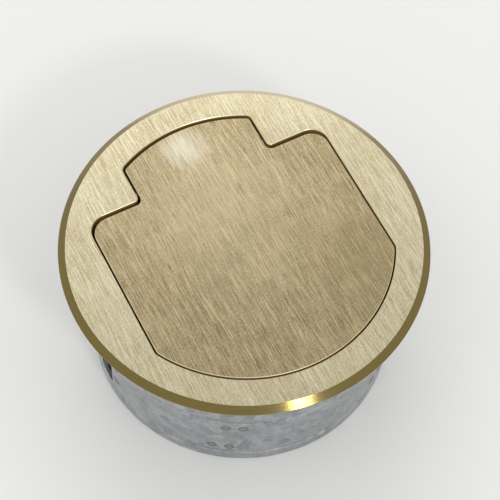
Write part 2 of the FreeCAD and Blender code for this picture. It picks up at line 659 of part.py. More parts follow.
def make_deck():
    """Black device deck on four brackets, its screws, the divider below it and the earth screw."""
    body = new_body("device_deck")
    disc = new_sketch(body, "XY_Plane", deck_under)
    circle(disc, "0", "0", f"{can_inner} - Dims.deck_gap")
    pad(body, disc, "Dims.deck_thick")
    notch_x = f"({channel_back} - Dims.sheet - Dims.deck_gap)"
    notch_y = "(Dims.channel_half + Dims.sheet + Dims.deck_gap)"
    holes = new_sketch(body, "XY_Plane", deck_top)
    rectangle(holes, notch_x, f"-{notch_y}", "Dims.can_radius", notch_y)
    rectangle(holes, "-Dims.can_radius", f"-{notch_y}", f"-{notch_x}", notch_y)
    outlet = "(Dims.outlet_half + Dims.fit_gap)"
    for sign in ("", "-"):
        x = f"{sign}Dims.outlet_x"
        rectangle(holes, f"{x} - {outlet}", f"-Dims.outlet_y - {outlet}",
                  f"{x} + {outlet}", f"-Dims.outlet_y + {outlet}")
    wide = "(Dims.bezel_half_width + Dims.fit_gap)"
    deep = "(Dims.bezel_half_depth + Dims.fit_gap)"
    rectangle(holes, f"-{wide}", f"Dims.bezel_y - {deep}", wide, f"Dims.bezel_y + {deep}")
    places = [polar(bracket_hole, angle) for angle in DECK_BRACKET_ANGLES]
    for x, y in places:
        circle(holes, x, y, "Dims.m3_radius")
    earth = polar(f"({can_inner} - Dims.earth_screw_inset)", 30)
    circle(holes, *earth, "Dims.m3_radius")
    pocket(body, holes, "Dims.deck_thick")
    node(body, "device_deck")
    group("deck_brackets", [
        bracket(f"deck_bracket_{number}", deck_under, False, angle)
        for number, angle in enumerate(DECK_BRACKET_ANGLES, start=1)
    ])
    length = "Dims.deck_thick + 4 * Dims.sheet"
    group("deck_screws", [
        pan_screw(f"deck_screw_{number}", (x, y, deck_top), length)
        for number, (x, y) in enumerate(places, start=1)
    ])
    washer = new_body("earth_washer")
    ring = new_sketch(washer, "XY_Plane", deck_top)
    circle(ring, *earth, "Dims.m3_head_radius * 1.5")
    circle(ring, *earth, "Dims.m3_radius")
    pad(washer, ring, "Dims.sheet / 2")
    node(washer, "earth_washer")
    screw = pan_screw("earth_screw", (*earth, f"{deck_top} + Dims.sheet / 2"), length,
                      head_radius="(Dims.m3_head_radius * 1.25)")
    node(screw, "earth_screw")
    divider = new_body("divider")
    profile = new_sketch(divider, "YZ_Plane")
    front = "(Dims.bezel_y - Dims.bezel_half_depth - Dims.lip - 4.5 * Dims.sheet)"
    polygon(profile, [
        (front, f"{cover_top} + Dims.sheet"), (f"{front} + Dims.sheet", f"{cover_top} + Dims.sheet"),
        (f"{front} + Dims.sheet", f"{deck_under} - Dims.sheet"),
        (f"{front} + 5 * Dims.sheet", f"{deck_under} - Dims.sheet"),
        (f"{front} + 5 * Dims.sheet", deck_under), (front, deck_under),
    ])
    pad(divider, profile, f"2 * ({notch_x} - Dims.sheet)", symmetric=True)
    node(divider, "divider")


def make_outlet(side, sign):
    """One snap-in power outlet: face, base, three contacts and three terminal screws."""
    x = f"{sign}Dims.outlet_x"
    y = "-Dims.outlet_y"
    half = "Dims.outlet_half"
    rim = f"({half} + Dims.lip)"
    blade_y = f"({y} + Dims.earth_offset * 0.45)"
    earth_y = f"({blade_y} - Dims.earth_offset)"
    slots = [f"{x} - Dims.blade_half_gap", f"{x} + Dims.blade_half_gap"]

    face = new_body(f"outlet_face_{side}")
    plate = new_sketch(face, "XY_Plane", deck_top)
    rectangle(plate, f"{x} - {rim}", f"{y} - {rim}", f"{x} + {rim}", f"{y} + {rim}")
    pad(face, plate, "Dims.lip_thick")
    corners = [(f"{x} {a} {rim}", f"{y} {b} {rim}") for a in "+-" for b in "+-"]
    round_corners(face, "Dims.lip * 1.5", corners)
    neck = new_sketch(face, "XY_Plane", outlet_part)
    rectangle(neck, f"{x} - {half}", f"{y} - {half}", f"{x} + {half}", f"{y} + {half}")
    pad(face, neck, "Dims.neck_depth")
    latch = new_sketch(face, "XZ_Plane", f"-({y})")
    for a, b in (("-", "-"), ("+", "+")):
        edge = f"{x} {a} {half}"
        polygon(latch, [
            (edge, deck_under), (f"{edge} {b} Dims.sheet", deck_under), (edge, outlet_part),
            (f"{x} {a} {half} * 0.9", outlet_part), (f"{x} {a} {half} * 0.9", deck_under),
        ] if a == "-" else [
            (f"{x} {a} {half} * 0.9", deck_under), (f"{x} {a} {half} * 0.9", outlet_part),
            (edge, outlet_part), (f"{edge} {b} Dims.sheet", deck_under), (edge, deck_under),
        ])
    pad(face, latch, "Dims.outlet_half * 0.6", symmetric=True)
    holes = new_sketch(face, "XY_Plane", lip_top)
    for number, slot in enumerate(slots):
        length = "Dims.blade_length / 2" if number else "Dims.blade_length * 0.42"
        rectangle(holes, f"{slot} - Dims.blade_slot / 2", f"{blade_y} - {length}",
                  f"{slot} + Dims.blade_slot / 2", f"{blade_y} + {length}")
    circle(holes, x, earth_y, "Dims.earth_radius")
    pocket(face, holes, "Dims.lip_thick + Dims.neck_depth")
    node(face, f"outlet_face_{side}")

    base = new_body(f"outlet_base_{side}")
    block = new_sketch(base, "XY_Plane", f"{outlet_part} - Dims.outlet_depth")
    rectangle(block, f"{x} - {half}", f"{y} - {half}", f"{x} + {half}", f"{y} + {half}")
    pad(base, block, "Dims.outlet_depth")
    well_half = "(Dims.blade_slot * 1.2)"
    wells = new_sketch(base, "XY_Plane", outlet_part)
    centres = [(slot, blade_y) for slot in slots] + [(x, earth_y)]
    for cx, cy in centres:
        rectangle(wells, f"{cx} - {well_half} - Dims.fit_gap", f"{cy} - Dims.blade_length * 0.55",
                  f"{cx} + {well_half} + Dims.fit_gap", f"{cy} + Dims.blade_length * 0.55")
    pocket(base, wells, "Dims.outlet_depth * 0.7")
    node(base, f"outlet_base_{side}")

    leaf = "(Dims.blade_slot * 0.35)"
    clips = []
    terminals = []
    for number, (cx, cy) in enumerate(centres, start=1):
        floor = f"({outlet_part} - Dims.outlet_depth * 0.7)"
        top = f"({outlet_part} - Dims.fit_gap)"
        clip = new_body(f"contact_{side}_{number}")
        bend = new_sketch(clip, "XZ_Plane", f"-({cy})")
        polygon(bend, [
            (f"{cx} - {well_half}", floor), (f"{cx} + {well_half}", floor),
            (f"{cx} + {well_half}", top), (f"{cx} + {well_half} - {leaf}", top),
            (f"{cx} + {well_half} - {leaf}", f"{floor} + {leaf}"),
            (f"{cx} - {well_half} + {leaf}", f"{floor} + {leaf}"),
            (f"{cx} - {well_half} + {leaf}", top), (f"{cx} - {well_half}", top),
        ])
        pad(clip, bend, "Dims.blade_length", symmetric=True)
        clips.append(clip)
        place = (cx, cy, f"{outlet_part} - Dims.outlet_depth")
        terminals.append(pan_screw(f"terminal_{side}_{number}", place, "Dims.outlet_depth * 0.2",
                                   downwards=False))
    for screw in terminals:
        x0, y0 = screw.Placement.Base.x, screw.Placement.Base.y
        drill(base, "Dims.m3_radius", "Dims.outlet_depth * 0.2",
              (x0, y0, value(f"{outlet_part} - Dims.outlet_depth")), (0, 0, 1))
    group(f"outlet_contacts_{side}", clips)
    group(f"outlet_terminals_{side}", terminals)


def make_data_bezel():
    """Moulded frame that carries the two data jacks in the deck."""
    body = new_body("data_bezel")
    wide, deep = "Dims.bezel_half_width", "Dims.bezel_half_depth"
    plate = new_sketch(body, "XY_Plane", deck_top)
    rectangle(plate, f"-{wide} - Dims.lip", f"Dims.bezel_y - {deep} - Dims.lip",
              f"{wide} + Dims.lip", f"Dims.bezel_y + {deep} + Dims.lip")
    pad(body, plate, "Dims.lip_thick")
    corners = [(f"{a}({wide} + Dims.lip)", f"Dims.bezel_y {b} ({deep} + Dims.lip)")
               for a in ("", "-") for b in "+-"]
    round_corners(body, "Dims.lip * 1.5", corners)
    neck = new_sketch(body, "XY_Plane", outlet_part)
    rectangle(neck, f"-{wide}", f"Dims.bezel_y - {deep}", wide, f"Dims.bezel_y + {deep}")
    pad(body, neck, "Dims.neck_depth")
    holes = new_sketch(body, "XY_Plane", lip_top)
    for sign in ("", "-"):
        x = f"{sign}Dims.jack_x"
        rectangle(holes, f"{x} - Dims.jack_half_width - Dims.fit_gap",
                  f"Dims.bezel_y - Dims.jack_half_depth - Dims.fit_gap",
                  f"{x} + Dims.jack_half_width + Dims.fit_gap",
                  f"Dims.bezel_y + Dims.jack_half_depth + Dims.fit_gap")
    pocket(body, holes, "Dims.lip_thick + Dims.neck_depth")
    node(body, "data_bezel")


def make_jack(side, sign):
    """One data jack: housing with a stepped port, eight contacts and the rear cap."""
    x = f"{sign}Dims.jack_x"
    y = "Dims.bezel_y"
    floor = f"({lip_top} - Dims.jack_height)"
    body = new_body(f"data_jack_{side}")
    block = new_sketch(body, "XY_Plane", floor)
    rectangle(block, f"{x} - Dims.jack_half_width", f"{y} - Dims.jack_half_depth",
              f"{x} + Dims.jack_half_width", f"{y} + Dims.jack_half_depth")
    pad(body, block, "Dims.jack_height")
    collar = new_sketch(body, "XY_Plane", f"{outlet_part} - Dims.sheet")
    rectangle(collar, f"{x} - Dims.jack_half_width - Dims.sheet", f"{y} - Dims.jack_half_depth",
              f"{x} + Dims.jack_half_width + Dims.sheet", f"{y} + Dims.jack_half_depth")
    pad(body, collar, "Dims.sheet")
    port = new_sketch(body, "XY_Plane", lip_top)
    wide = "Dims.port_half_width"
    front = f"({y} - Dims.jack_half_depth * 0.55)"
    step = f"({front} + {wide} * 1.15)"
    ridge = f"({step} + {wide} * 0.26)"
    latch = f"({ridge} + {wide} * 0.26)"
    polygon(port, [
        (f"{x} - {wide}", front), (f"{x} + {wide}", front), (f"{x} + {wide}", step),
        (f"{x} + {wide} * 0.52", step), (f"{x} + {wide} * 0.52", ridge),
        (f"{x} + {wide} * 0.28", ridge), (f"{x} + {wide} * 0.28", latch),
        (f"{x} - {wide} * 0.28", latch), (f"{x} - {wide} * 0.28", ridge),
        (f"{x} - {wide} * 0.52", ridge), (f"{x} - {wide} * 0.52", step), (f"{x} - {wide}", step),
    ])
    pocket(body, port, "Dims.port_depth")
    node(body, f"data_jack_{side}")

    wires = []
    pitch = f"{wide} * 0.173"
    thick = f"({wide} * 0.06)"
    for number in range(8):
        wire = new_body(f"jack_wire_{side}_{number + 1}")
        bend = new_sketch(wire, "YZ_Plane", f"{x} + ({number - 3.5}) * {pitch}")
        deep = f"({lip_top} - Dims.port_depth)"
        rise = "(Dims.port_depth * 0.55)"
        lean = f"({wide} * 0.5)"
        polygon(bend, [
            (front, deep), (f"{front} + 3 * {thick}", deep),
            (f"{front} + 3 * {thick} + {lean}", f"{deep} + {rise}"),
            (f"{front} + {thick} + {lean}", f"{deep} + {rise}"), (front, f"{deep} + 3 * {thick}"),
        ])
        pad(wire, bend, f"2 * {thick}", symmetric=True)
        wires.append(wire)
    group(f"jack_contacts_{side}", wires)

    cap = new_body(f"jack_cap_{side}")
    lid_of_jack = new_sketch(cap, "XY_Plane", f"{floor} - Dims.jack_height * 0.3")
    rectangle(lid_of_jack, f"{x} - Dims.jack_half_width * 0.9", f"{y} - Dims.jack_half_depth * 0.9",
              f"{x} + Dims.jack_half_width * 0.9", f"{y} + Dims.jack_half_depth * 0.9")
    pad(cap, lid_of_jack, "Dims.jack_height * 0.3")
    node(cap, f"jack_cap_{side}")


def make_wiring_cover():
    """Removable bottom plate with two cable bushings, on four brackets."""
    body = new_body("wiring_cover")
    disc = new_sketch(body, "XY_Plane", cover_under)
    circle(disc, "0", "0", f"{can_inner} - Dims.deck_gap")
    places = [polar(bracket_hole, angle) for angle in COVER_BRACKET_ANGLES]
    for x, y in places:
        circle(disc, x, y, "Dims.m3_radius")
    barrel = "(Dims.bushing_bore + Dims.bushing_wall)"
    for sign in ("", "-"):
        circle(disc, "0", f"{sign}Dims.bushing_y", barrel)
    pad(body, disc, "Dims.deck_thick")
    node(body, "wiring_cover")
    group("cover_brackets", [
        bracket(f"cover_bracket_{number}", cover_top, True, angle)
        for number, angle in enumerate(COVER_BRACKET_ANGLES, start=1)
    ])
    group("cover_screws", [
        pan_screw(f"cover_screw_{number}", (x, y, cover_under), "Dims.deck_thick + 3 * Dims.sheet",
                  downwards=False)
        for number, (x, y) in enumerate(places, start=1)
    ])
    for label, sign in (("power_bushing", "-"), ("data_bushing", "")):
        bushing = new_body(label)
        flange = "-Dims.bushing_flange"
        top = "Dims.bushing_height"
        barb = "Dims.bushing_wall * 0.4"
        catch = "Dims.deck_thick"
        revolve(bushing, [
            ("Dims.bushing_bore", flange), (f"{barrel} + 2 * Dims.bushing_wall", flange),
            (f"{barrel} + 2 * Dims.bushing_wall", "0"), (barrel, "0"), (barrel, catch),
            (f"{barrel} + {barb}", catch), (barrel, f"{catch} + 3 * {barb}"), (barrel, top),
            ("Dims.bushing_bore", top),
        ])
        move_to(bushing, "0", f"{sign}Dims.bushing_y", cover_under)
        node(bushing, label)


def make_clamp(side, angle):
    """A table clamp: channel, screw, clip, carriage, and a claw that folds out through the can."""
    def finish(feature, label):
        turn(feature, (0, 0, 1), angle)
        node(feature, f"{label}_{side}")

    top, bottom = "-Dims.channel_top", channel_bottom
    half = "Dims.channel_half"
    back = channel_back
    body = new_body(f"channel_bent_{side}")
    bend = new_sketch(body, "XY_Plane", bottom)
    reach = "Dims.can_radius"
    polygon(bend, [
        (f"{back} - Dims.sheet", f"-{half} - Dims.sheet"), (reach, f"-{half} - Dims.sheet"),
        (reach, f"-{half}"), (back, f"-{half}"), (back, half), (reach, half),
        (reach, f"{half} + Dims.sheet"), (f"{back} - Dims.sheet", f"{half} + Dims.sheet"),
    ])
    pad(body, bend, f"{top} - {bottom}")
    shelf = f"({pivot_x} - Dims.claw_inner - Dims.pad_thick - Dims.carriage_gap)"
    for level in (bottom, f"{top} - Dims.sheet"):
        lug = new_sketch(body, "XY_Plane", level)
        rectangle(lug, back, f"-{half}", shelf, half)
        circle(lug, screw_x, "0", "Dims.clamp_screw_radius + Dims.thread_play")
        pad(body, lug, "Dims.sheet")
    inside = rod(f"channel_trim_{side}", ("0", "0", "-Dims.can_depth"), can_inner, "Dims.can_depth")
    finish(common(f"clamp_channel_{side}", [body, inside]), "clamp_channel")

    shank = f"{top} - {bottom} + Dims.sheet"
    screw = pan_screw(f"clamp_screw_solid_{side}", (screw_x, "0", top), shank, "Dims.clamp_screw_radius",
                      "Dims.clamp_head_radius", "Dims.clamp_head_height")
    turned = doc.addObject("Part::Compound", f"clamp_screw_turned_{side}")
    turned.Links = [screw]
    finish(turned, "clamp_screw")
    clip = new_body(f"clamp_clip_{side}")
    ring = new_sketch(clip, "XY_Plane", f"{top} - 2.2 * Dims.sheet")
    circle(ring, screw_x, "0", "Dims.clamp_head_radius")
    circle(ring, screw_x, "0", "Dims.clamp_screw_radius")
    pad(clip, ring, "Dims.sheet / 2")
    finish(clip, "clamp_clip")

    low = carriage_low
    width = f"({half} - Dims.carriage_gap)"
    outer = f"({pivot_x} + Dims.claw_outer + Dims.fit_gap)"
    carriage = new_body(f"clamp_carriage_{side}")
    block = new_sketch(carriage, "XY_Plane", low)
    rectangle(block, f"{back} + Dims.carriage_gap", f"-{width}", outer, width)
    circle(block, screw_x, "0", "Dims.clamp_screw_radius + Dims.thread_play")
    pad(carriage, block, "Dims.carriage_height")
    fork = new_sketch(carriage, "XY_Plane", f"{low} + Dims.carriage_height")
    root = f"({pivot_x} - Dims.claw_inner - Dims.claw_spur - Dims.pin_play)"
    slot = "(Dims.claw_half + Dims.fit_gap)"
    rectangle(fork, root, f"-{slot}", f"{outer} + Dims.sheet", slot)
    pocket(carriage, fork, "Dims.carriage_height")
    pin_hole = new_sketch(carriage, "XZ_Plane")
    circle(pin_hole, pivot_x, pivot_z, "Dims.pin_radius")
    pocket(carriage, pin_hole, f"2 * {half}", symmetric=True)
    finish(carriage, "clamp_carriage")
    pin = new_body(f"claw_pin_{side}")
    round_bar = new_sketch(pin, "XZ_Plane")
    circle(round_bar, pivot_x, pivot_z, "Dims.pin_radius")
    pad(pin, round_bar, f"2 * {width}", symmetric=True)
    finish(pin, "claw_pin")

    claw = new_body(f"claw_{side}")
    outline = new_sketch(claw, "XZ_Plane")
    face = f"({pivot_x} - Dims.claw_inner)"
    rear = f"({pivot_x} + Dims.claw_outer)"
    heel = f"({pivot_z} - Dims.claw_inner)"
    tip = f"({pivot_z} + Dims.claw_length)"
    spur = f"({pivot_x} + Dims.claw_outer * 0.35)"
    polygon(outline, [
        (face, heel), (spur, heel), (spur, f"{heel} - Dims.claw_spur"),
        (rear, f"{heel} - Dims.claw_spur"), (rear, f"{pivot_z} + Dims.claw_length * 0.6"),
        (f"{face} + Dims.claw_inner", tip), (face, tip),
    ])
    pad(claw, outline, "2 * Dims.claw_half", symmetric=True)
    heel_edge = [
        f"Edge{index}" for index, edge in enumerate(claw.Tip.Shape.Edges, start=1)
        if all(abs(v.X - value(face)) < 1e-4 and abs(v.Z - value(heel)) < 1e-4 for v in edge.Vertexes)
    ]
    round_edges(claw, "Dims.claw_inner - 0.001", heel_edge)
    pivot = new_sketch(claw, "XZ_Plane")
    circle(pivot, pivot_x, pivot_z, "Dims.pin_radius + Dims.pin_play")
    pocket(claw, pivot)
    finish(claw, "claw")
    rubber = new_body(f"claw_pad_{side}")
    patch = new_sketch(rubber, "XZ_Plane")
    rectangle(patch, f"{face} - Dims.pad_thick", f"{tip} - Dims.claw_length * 0.38",
              face, f"{tip} - Dims.claw_length * 0.06")
    pad(rubber, patch, "2 * (Dims.claw_half - Dims.fit_gap)", symmetric=True)
    finish(rubber, "claw_pad")


make_trim_ring()
make_lid()
make_can()
make_seat()
make_deck()
make_outlet("left", "-")
make_outlet("right", "")
make_data_bezel()
make_jack("left", "-")
make_jack("right", "")
make_wiring_cover()
make_clamp("right", 0)
make_clamp("left", 180)

doc.recompute()
for item in doc.Objects:
    if "Invalid" in item.State or "Error" in item.State:
        raise RuntimeError(f"{item.Name} does not recompute: {item.State}")
for part in nodes:
    if part.Shape.isNull() or not part.Shape.isValid():
        raise RuntimeError(f"{part.Label} has no valid shape")
    part.Shape.exportStep(f"parts/{part.Label}.step")
    print(f"{part.Label}: {len(part.Shape.Solids)} solids, {part.Shape.Volume:.1f} mm3")
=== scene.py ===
# %% [markdown]
# # A round table box in brushed brass
# Closed, the box shows only a brass ring and a flush lid. Pressing the lid's tab tips the lid up,
# and two power outlets and two data jacks appear below. Two clamps on the can hold the box in
# place.
# The solids come from CAD and are not changed here. This lesson gives them their finishes, adds
# the fine pieces that the CAD leaves out, and sets up the camera and the light.

# %% Load the solids
import json
import math

import bmesh
import bpy
from mathutils import Matrix, Vector


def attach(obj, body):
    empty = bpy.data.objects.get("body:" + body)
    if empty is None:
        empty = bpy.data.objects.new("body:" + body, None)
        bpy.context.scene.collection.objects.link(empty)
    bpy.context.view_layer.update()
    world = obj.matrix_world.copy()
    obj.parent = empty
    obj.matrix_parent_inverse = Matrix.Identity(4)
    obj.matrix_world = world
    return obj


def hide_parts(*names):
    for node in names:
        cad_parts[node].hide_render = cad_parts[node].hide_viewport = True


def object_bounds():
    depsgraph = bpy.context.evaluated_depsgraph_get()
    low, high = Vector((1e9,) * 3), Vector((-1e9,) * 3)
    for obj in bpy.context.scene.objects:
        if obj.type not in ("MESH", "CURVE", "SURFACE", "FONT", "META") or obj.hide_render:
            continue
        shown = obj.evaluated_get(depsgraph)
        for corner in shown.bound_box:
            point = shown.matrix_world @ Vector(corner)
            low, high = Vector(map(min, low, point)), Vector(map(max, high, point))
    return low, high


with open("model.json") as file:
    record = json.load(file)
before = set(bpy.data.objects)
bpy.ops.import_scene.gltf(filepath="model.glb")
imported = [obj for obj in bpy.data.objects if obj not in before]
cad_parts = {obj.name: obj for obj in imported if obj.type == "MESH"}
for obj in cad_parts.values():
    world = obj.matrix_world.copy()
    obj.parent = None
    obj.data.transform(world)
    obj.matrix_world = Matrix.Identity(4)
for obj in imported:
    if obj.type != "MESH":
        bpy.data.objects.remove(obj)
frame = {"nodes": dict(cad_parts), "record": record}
cad_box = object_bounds()
nodes = frame["nodes"]

# %% [markdown]
# ## The camera
# A camera can be placed by eye, but here its place was solved from the photograph: the ring's
# outline is a circle of known radius, so the ellipse it makes gives the height, the tilt and the
# distance. The numbers below are that solution. Distance and aim are in units of the ring's radius.

# %% Place the camera
PHOTO_PIXELS = 500
SENSOR_MM = 36
RING_RADIUS = 0.075
RING_TOP = 0.0025
ELEVATION = math.radians(60.63)
ROLL = math.radians(-2.53)
BEARING = math.radians(29.35)
FOCAL_PIXELS = 1696.87
DISTANCE = 9.0643
AIM = (0.0306, -0.0506)

to_box = Matrix.Rotation(-BEARING, 3, "Z")


def in_studio(x, y, z):
    """A place given as right of, beyond and above the ring, seen from the camera."""
    return to_box @ Vector((x, y, z))


def place_camera():
    right = Vector((1, 0, 0))
    up = Vector((0, math.sin(ELEVATION), math.cos(ELEVATION)))
    back = Vector((0, -math.cos(ELEVATION), math.sin(ELEVATION)))
    rolled_right = right * math.cos(ROLL) - up * math.sin(ROLL)
    rolled_up = right * math.sin(ROLL) + up * math.cos(ROLL)
    place = RING_RADIUS * (Vector((*AIM, 0)) + DISTANCE * back)
    axes = Matrix([to_box @ axis for axis in (rolled_right, rolled_up, back)]).transposed()
    data = bpy.data.cameras.new("photo_camera")
    data.sensor_width = SENSOR_MM
    data.lens = SENSOR_MM * FOCAL_PIXELS / PHOTO_PIXELS
    data.clip_start = 0.01
    camera = bpy.data.objects.new("photo_camera", data)
    spot = to_box @ place + Vector((0, 0, RING_TOP))
    camera.matrix_world = Matrix.Translation(spot) @ axes.to_4x4()
    bpy.context.scene.collection.objects.link(camera)
    bpy.context.scene.camera = camera
    return camera


camera = place_camera()
print("camera at", [round(c, 3) for c in camera.matrix_world.translation])
print("lens", round(camera.data.lens, 1), "mm")

# %% [markdown]
# ## Finishes as sums
# Most finishes need a little arithmetic on textures. Wiring Math nodes by hand hides that
# arithmetic, so a small class wraps a socket and lets Python's own signs add the nodes.

# %% A socket that can be added and multiplied
class Signal:
    """One output of a shader node. Sums and products of signals add Math nodes."""

    def __init__(self, finish, socket):
        self.finish = finish
        self.socket = socket

    def __add__(self, other):
        return self.finish.combine("ADD", self, other)

    def __radd__(self, other):
        return self.finish.combine("ADD", other, self)

    def __sub__(self, other):
        return self.finish.combine("SUBTRACT", self, other)

    def __rsub__(self, other):
        return self.finish.combine("SUBTRACT", other, self)

    def __mul__(self, other):
        return self.finish.combine("MULTIPLY", self, other)

    def __rmul__(self, other):
        return self.finish.combine("MULTIPLY", other, self)

    def __gt__(self, other):
        return self.finish.combine("GREATER_THAN", self, other)


print("signals can be added, subtracted, multiplied and compared")

# %% [markdown]
# A finish is one material. It could be wired node by node for each solid, but all of them need
# the same few steps: place a texture in millimetres, mix two colours, lift the surface a little.
# One class holds these steps, and any node at all comes from its method `node`.

# %% A material in the making
class Finish:
    """A procedural material around one Principled shader."""

    def __init__(self, name, **constants):
        self.material = bpy.data.materials.new(name)
        self.material.use_nodes = True
        self.tree = self.material.node_tree
        self.shader = self.tree.nodes["Principled BSDF"]
        for socket, number in constants.items():
            self.shader.inputs[socket.replace("_", " ")].default_value = number

    def node(self, kind, settings=None, inputs=None, output=0):
        """Any node: its type, its settings, what feeds its sockets, and the output to use."""
        made = self.tree.nodes.new(kind)
        for name, setting in (settings or {}).items():
            if name == "stops":
                self.set_stops(made.color_ramp, setting)
            else:
                setattr(made, name, setting)
        for key, what in (inputs or {}).items():
            self.feed(made.inputs[key], what)
        return Signal(self, made.outputs[output])

    def feed(self, socket, what):
        if isinstance(what, Signal):
            self.tree.links.new(what.socket, socket)
        else:
            socket.default_value = what

    @staticmethod
    def set_stops(ramp, stops):
        while len(ramp.elements) < len(stops):
            ramp.elements.new(0.5)
        for element, (place, shade) in zip(ramp.elements, stops):
            element.position = place
            element.color = (shade, shade, shade, 1)

    def combine(self, operation, first, second):
        return self.node("ShaderNodeMath", {"operation": operation}, {0: first, 1: second})

    def vector(self, operation, first, second=None, output=0):
        inputs = {0: first} if second is None else {0: first, 1: second}
        return self.node("ShaderNodeVectorMath", {"operation": operation}, inputs, output)

    def mix(self, factor, first, second):
        """Two colours mixed by a factor."""
        inputs = {0: factor, 6: first, 7: second}
        return self.node("ShaderNodeMix", {"data_type": "RGBA"}, inputs, output=2)

    def place(self, scale=(1, 1, 1)):
        """Position on the solid in millimetres, stretched by a factor along each axis."""
        spot = self.node("ShaderNodeTexCoord", output=3)
        return self.vector("MULTIPLY", spot, tuple(1000 * factor for factor in scale))

    def noise(self, place, scale, detail=2.0, roughness=0.5):
        """Cloudy noise between 0 and 1; the scale is in cells per millimetre."""
        inputs = {"Vector": place, "Scale": scale, "Detail": detail, "Roughness": roughness}
        return self.node("ShaderNodeTexNoise", None, inputs)

    def ramp(self, signal, *stops):
        """A curve of straight runs through (signal, result) stops."""
        return self.node("ShaderNodeValToRGB", {"stops": stops}, {"Fac": signal})

    def bump(self, height, depth_mm):
        """Let a height between 0 and 1, times a depth, tilt the surface."""
        inputs = {"Distance": depth_mm / 1000, "Height": height}
        self.use(Normal=self.node("ShaderNodeBump", None, inputs))

    def use(self, **surfaces):
        """Feed the shader: Base_Color, Roughness, Metallic or Normal."""
        for name, what in surfaces.items():
            self.feed(self.shader.inputs[name.replace("_", " ")], what)


def colour(red, green, blue):
    """A colour as a screen shows it, 0 to 255, turned into the linear light of the shader."""
    def linear(level):
        level /= 255
        return level / 12.92 if level <= 0.04045 else ((level + 0.055) / 1.055) ** 2.4
    return (linear(red), linear(green), linear(blue), 1)


print("finish helpers ready")

# %% [markdown]
# ## Brushed brass
# The ring and the lid were ground on a belt, so fine scratches run along the lid, from the front
# to the tab, and a thin lacquer keeps the metal bright. A picture of scratches would blur close
# up. Noise that is squeezed across the grinding direction and stretched along it stays sharp.
# Two sizes of it are cut off hard into thin dark hairs and wider pale lines. A short noise breaks
# them up, because a real scratch starts and stops, and a fine grain and large faint clouds keep
# the plate from looking even. The scratches also change the gloss and tilt the surface a little.

# %% Make the brushed brass
def scratches(finish, width_mm, length_mm, detail=2.0):
    """Noise stretched into lines along Y."""
    stretch = (1 / width_mm, 1 / length_mm, 1 / width_mm)
    return finish.noise(finish.place(stretch), 1.0, detail)


def brushed_brass(name, light, dark):
    """Ground brass; returns the finish, its tone and its gloss, for more to be added."""
    finish = Finish(name, Coat_Weight=0.5, Coat_Roughness=0.3)
    hair = scratches(finish, width_mm=0.18, length_mm=9, detail=0)
    line = scratches(finish, width_mm=0.27, length_mm=14, detail=0)
    broken = scratches(finish, width_mm=0.36, length_mm=1.8)
    grain = scratches(finish, width_mm=0.4, length_mm=0.9, detail=1)
    clouds = scratches(finish, width_mm=24, length_mm=30, detail=1)
    pale_line = finish.ramp(line, (0.54, 0.0), (0.64, 1.0))
    dark_hair = finish.ramp(hair, (0.36, 1.0), (0.46, 0.0))
    marks = (pale_line - dark_hair) * (broken * 1.2 - 0.1)
    level = 0.5 + marks + (grain - 0.5) * 1.3 + (clouds - 0.5) * 0.45
    tone = finish.mix(level, dark, light)
    gloss = 0.33 + (0.5 - hair) * 0.16 + (0.5 - clouds) * 0.1
    finish.bump(hair * 0.5 + line * 0.5, depth_mm=0.006)
    return finish, tone, gloss


lid_brass, lid_tone, lid_gloss = brushed_brass(
    "lid_brass", light=colour(199, 181, 143), dark=colour(124, 110, 71))
ring_brass, ring_tone, ring_gloss = brushed_brass(
    "ring_brass", light=colour(222, 214, 185), dark=colour(173, 157, 115))
print("brushed brass:", lid_brass.material.name, ring_brass.material.name)

# %% [markdown]
# ## Edges, walls and the underside
# Three kinds of face never met the belt. Sharp edges were broken with a file. Their pale colour is
# partly bright filed metal and partly a painted highlight.
# The walls inside the gap are as the saw left them, brown and dull. The underside of the lid is
# rolled plate. Faces could be given materials one by one, but how far a face looks up tells the
# kinds apart. It is measured in the solid's own frame, so that the finish swings with the lid.

# %% Finish the faces that were not brushed
# Pale cream for the filed edges: partly filed metal, partly painted highlight.
FILED_EDGE_AND_HIGHLIGHT = colour(236, 226, 192)
SAWN_WALL = colour(164, 136, 74)
ROLLED_DARK = colour(158, 135, 88)
ROLLED_LIGHT = colour(184, 160, 110)


def upward(finish):
    """1 on a face that looks up, 0 on an upright wall, -1 underneath."""
    facing = finish.node("ShaderNodeTexCoord", output=1)
    return finish.node("ShaderNodeSeparateXYZ", None, {0: facing}, output=2)


def finish_other_faces(finish, tone, gloss):
    up = upward(finish)
    filed_edge_highlight = finish.ramp(up, (0.6, 0.0), (0.66, 1.0), (0.74, 1.0), (0.8, 0.0))
    wall = finish.ramp(up * up, (0.02, 1.0), (0.2, 0.0))
    under = finish.ramp(0 - up, (0.5, 0.0), (0.7, 1.0))
    stain = finish.noise(finish.place((1, 0.3, 1)), 0.09, detail=5, roughness=0.6)
    rolled = finish.mix(finish.ramp(stain, (0.3, 0.0), (0.7, 1.0)), ROLLED_DARK, ROLLED_LIGHT)
    # Partly painted highlight: the filed edges are mixed to a pale cream.
    tone = finish.mix(filed_edge_highlight, tone, FILED_EDGE_AND_HIGHLIGHT)
    tone = finish.mix(under, tone, rolled)
    tone = finish.mix(wall, tone, SAWN_WALL)
    finish.use(Metallic=1 - wall)
    return tone, gloss + under * 0.08 + wall * 0.2


print("filed, sawn and rolled faces ready")

# %% [markdown]
# ## Painted light on the lid
# Painted highlights brighten the middle of the lid and its tab, and painted shade darkens one side.
# Such patches could be painted on a picture, but a distance from a point gives the same soft patch
# with two numbers for its place and two for its size. The scratches tear its edge, so that it lies
# in the brushing.

# %% Paint light on the lid
BRASS_TOP_MM = 1000 * RING_TOP
PATCH_DEPTH_MM = 8
